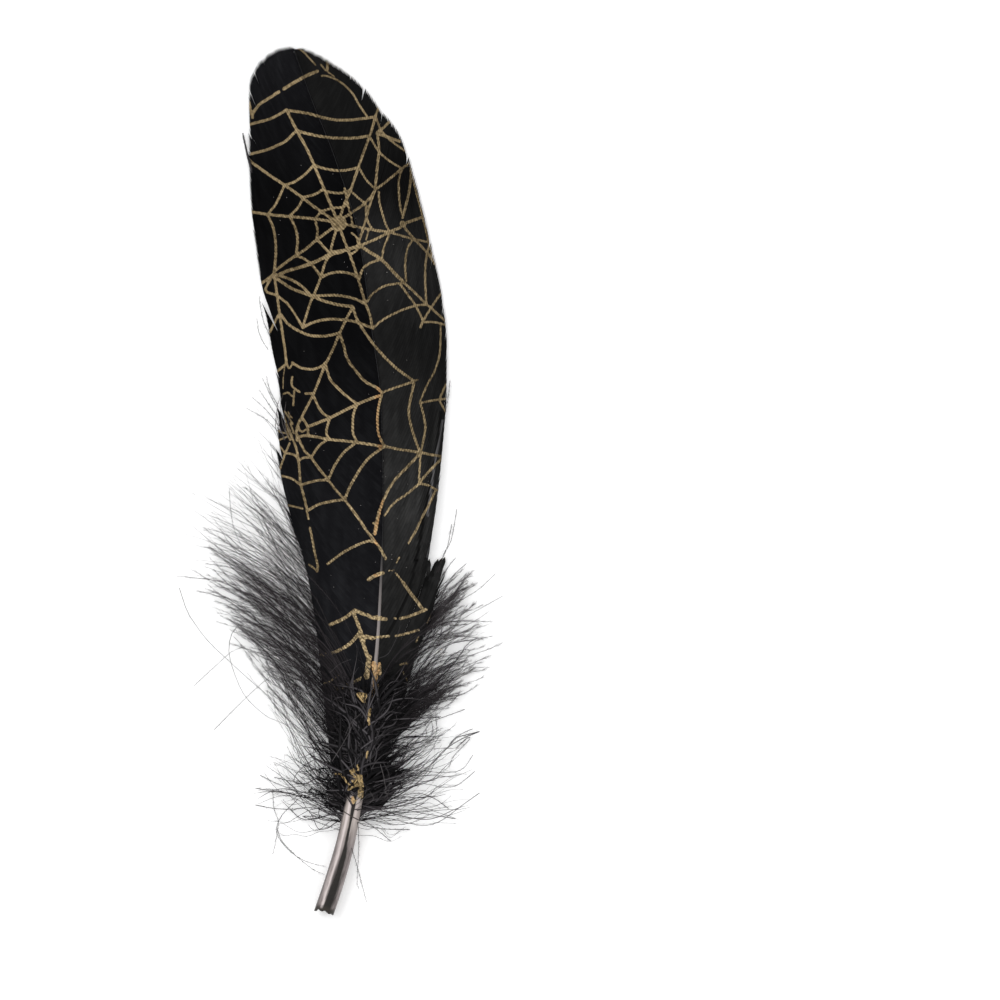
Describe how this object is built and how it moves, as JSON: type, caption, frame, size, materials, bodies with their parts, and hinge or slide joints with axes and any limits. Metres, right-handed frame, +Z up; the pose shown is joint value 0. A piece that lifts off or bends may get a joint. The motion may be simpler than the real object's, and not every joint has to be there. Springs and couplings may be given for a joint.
{
  "type": "painted goose feather",
  "caption": "Black dyed goose feather lying curved side up, its vanes printed with a gold spider web, downy barbs at the base and a bare cut quill.",
  "frame": {"origin": "on the surface that the feather rests on, at the middle of the feather's outline seen from above", "axes": "+Y towards the feather's tip, +Z up, out of the printed side, +X towards the side that the shaft bows to"},
  "size_m": [0.0666, 0.1657, 0.0075],
  "materials": {
    "feather": "near-black dyed barbs with a soft satin sheen along each barb, printed with thin matt gold lines",
    "quill": "semi-gloss grey-brown horn, stained by the dye, with a paler highlight along it",
    "down": "soft matt black down, letting light through where it thins out"
  },
  "bodies": {
    "root": {"feather": "feather"}
  },
  "joints": []
}
